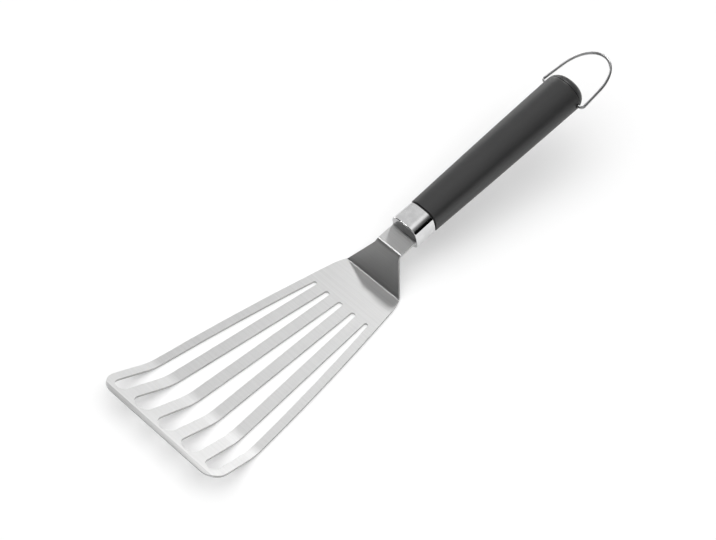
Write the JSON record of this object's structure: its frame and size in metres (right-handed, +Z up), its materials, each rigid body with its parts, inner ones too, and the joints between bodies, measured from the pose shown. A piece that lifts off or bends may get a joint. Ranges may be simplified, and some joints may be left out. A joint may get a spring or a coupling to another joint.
{
  "type": "griddle spatula",
  "caption": "Slotted griddle spatula with a raised front lip, a stepped neck, a plated ferrule, a black grip with a domed end and a swinging wire hanging loop.",
  "frame": {"origin": "centre of the bounding box's bottom face, in the plane that the flat of the blade rests on", "axes": "+X along the tool from the blade's front lip to the hanging loop, +Y across it, +Z up from the flat of the blade"},
  "size_m": [0.3996, 0.1046, 0.0582],
  "materials": {
    "satin_steel": "fine satin brushing along the blade",
    "bright_plating": "polished",
    "core_moulding": "matt",
    "pin_steel": "plain drawn",
    "satin_black_moulding": "satin black moulding",
    "plated_wire": "bright plated wire"
  },
  "bodies": {
    "tool": {"blade": "satin_steel", "ferrule": "bright_plating", "tang_core": "core_moulding", "tang_front_pin": "pin_steel", "tang_rear_pin": "pin_steel", "grip": "satin_black_moulding", "end_plug": "satin_black_moulding"},
    "loop": {"hanging_loop": "plated_wire"}
  },
  "joints": [
    {"name": "loop_swing", "type": "hinge", "parent": "tool", "child": "loop", "pos_m": [0.15835, 0, 0.04583], "axis": [0, 1, 0], "range_deg": [-160, 160]}
  ]
}
